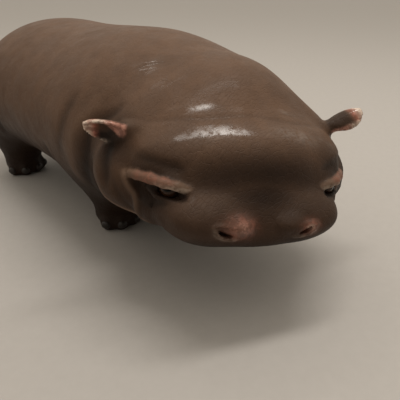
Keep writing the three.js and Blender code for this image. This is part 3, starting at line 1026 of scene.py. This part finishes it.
def wet_eye():
    f = Finish("wet_eye")
    along, up = f.mask("along"), f.mask("up")
    radius = (along * along + up * up) ** 0.5
    white = f.smooth(radius, 0.62, 0.70)
    pupil = 1 - f.smooth(((along * 0.55) ** 2 + (up * 1.1) ** 2) ** 0.5, 0.20, 0.25)
    rays = f.noise(900.0, 3.0, 0.6)
    colour = f.mix(rays, *IRIS)
    colour = f.mix(white, colour, EYE_EDGE)
    colour = f.mix(pupil, colour, PUPIL)
    f.set(Base_Color=colour, Roughness=0.12, Specular_IOR_Level=0.15)
    return f.set(Coat_Weight=0.08, Coat_Roughness=0.04)


def hoof_nail():
    f = Finish("hoof_nail")
    grain = f.noise(260.0, 4.0, 0.6)
    normal = f.bump(grain, 0.0006, 0.5)
    f.set(Base_Color=f.mix(grain, *NAIL), Roughness=0.36 + grain * 0.15, Normal=normal)
    return f.set(Coat_Weight=0.2, Coat_Roughness=0.2)


def pale_floor():
    f = Finish("pale_floor")
    grain = f.noise(60.0, 4.0, 0.6)
    return f.set(Base_Color=f.mix(grain, *FLOOR), Roughness=0.75 + grain * 0.05)


# ---------------------------------------------------------------- pieces


def put(piece, material, slot, *nodes):
    piece.data.materials.clear()
    piece.data.materials.append(material)
    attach(piece, "root")
    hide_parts(*nodes)


def nail(name, leg, sign, angle):
    """A rounded nail, blunt at its tip, set on the front of a toe."""
    a = math.radians(angle)
    out = np.array((sign * math.sin(a), -math.cos(a), 0))
    up = np.array((0, 0, 1))
    across = np.cross(out, up)
    centre = np.array((sign * leg["side"], leg["along"], NAIL_HEIGHT)) + out * NAIL_REACH
    wide, deep, tall = NAIL_SIZE

    def spot(polar, turn):
        ring = across * wide * math.cos(turn) + out * deep * math.sin(turn)
        return centre + ring * math.sin(polar) + up * tall * math.cos(polar)

    return round_mesh(name, NAIL_RINGS, NAIL_AROUND, spot)[0]


def build_calf():
    flesh = ["head", "neck", "trunk", "tail"]
    flesh += [f"{limb}_{side}" for limb in LEGS for side in ("right", "left")]
    flesh += ["ear_right", "ear_left"]
    put(make_skin(), wet_hide(), "skin", *flesh)
    eye_material = wet_eye()
    for side, sign in SIDES.items():
        put(eyeball(f"eyeball_{side}", sign), eye_material, "eye", f"eye_{side}")
    nail_material = hoof_nail()
    for limb, leg in LEGS.items():
        for side, sign in SIDES.items():
            for number, angle in enumerate(TOE_ANGLES, 1):
                name = f"{limb}_{side}_{number}"
                put(nail(f"toenail_{name}", leg, sign, angle), nail_material, "nail", f"nail_{name}")


# ---------------------------------------------------------------- camera, floor and light

FLOOR_REACH = 12  # metres
HALL_TURN = math.radians(-24)
LAMP_COLOUR = (1.0, 0.96, 0.90)
ROOM_LIGHT_FROM = (0.29, 0.31, 0.905)
ROOM_DIM = (0.05, 0.042, 0.032, 1)
ROOM_BRIGHT = (1.0, 0.92, 0.80, 1)
ROOM_STRENGTH = 0.82


def camera():
    data = bpy.data.cameras.new("camera")
    data.sensor_width = SENSOR
    data.lens = CAMERA_LENS
    data.clip_start = NEAREST_SEEN
    made = show("camera", data)
    place = (np.array(CAMERA_PLACE) + shift) * MM
    turn = (Matrix.Rotation(math.radians(CAMERA_HEADING), 4, "Z")
            @ Matrix.Rotation(math.radians(90 - CAMERA_DOWN), 4, "X")
            @ Matrix.Rotation(math.radians(CAMERA_ROLL), 4, "Z"))
    made.matrix_world = Matrix.Translation(Vector(place)) @ turn
    bpy.context.scene.camera = made


def floor():
    r = FLOOR_REACH
    mesh = bpy.data.meshes.new("floor")
    mesh.from_pydata([(-r, -r, 0), (r, -r, 0), (r, r, 0), (-r, r, 0)], [], [(0, 1, 2, 3)])
    mesh.materials.append(pale_floor())
    show("floor", mesh)


def ceiling_lamp(name, place, size, power):
    """A rectangular lamp that shines straight down, placed in the calf's own frame."""
    data = bpy.data.lights.new(name, "AREA")
    data.shape = "RECTANGLE"
    data.size, data.size_y = size
    data.energy = power
    data.color = LAMP_COLOUR
    made = show(name, data)
    made.location = (np.array(place) + shift) * MM
    made.rotation_euler = (0, 0, HALL_TURN)


def room_light():
    """Bright overhead and behind the calf, dim in front of it, with no edge between them."""
    world = bpy.data.worlds.new("room_light")
    bpy.context.scene.world = world
    world.use_nodes = True
    air = Nodes(world.node_tree)
    direction = air.node("ShaderNodeTexCoord", output="Generated")
    towards = air.node("ShaderNodeVectorMath", {"operation": "DOT_PRODUCT"},
                       {0: direction, 1: ROOM_LIGHT_FROM}, "Value")
    colour = air.mix(air.smooth(towards, -0.35, 0.95), ROOM_DIM, ROOM_BRIGHT)
    background = world.node_tree.nodes["Background"]
    air.link(background.inputs["Color"], colour)
    air.link(background.inputs["Strength"], ROOM_STRENGTH)


camera()
build_calf()
floor()
ceiling_lamp("ceiling_strip", (400, -330, 2600), (1.9, 0.34), 27)
ceiling_lamp("ceiling_strip_rear", (70, 1260, 2600), (0.6, 0.15), 3)
room_light()
bpy.context.scene.view_settings.view_transform = "Standard"
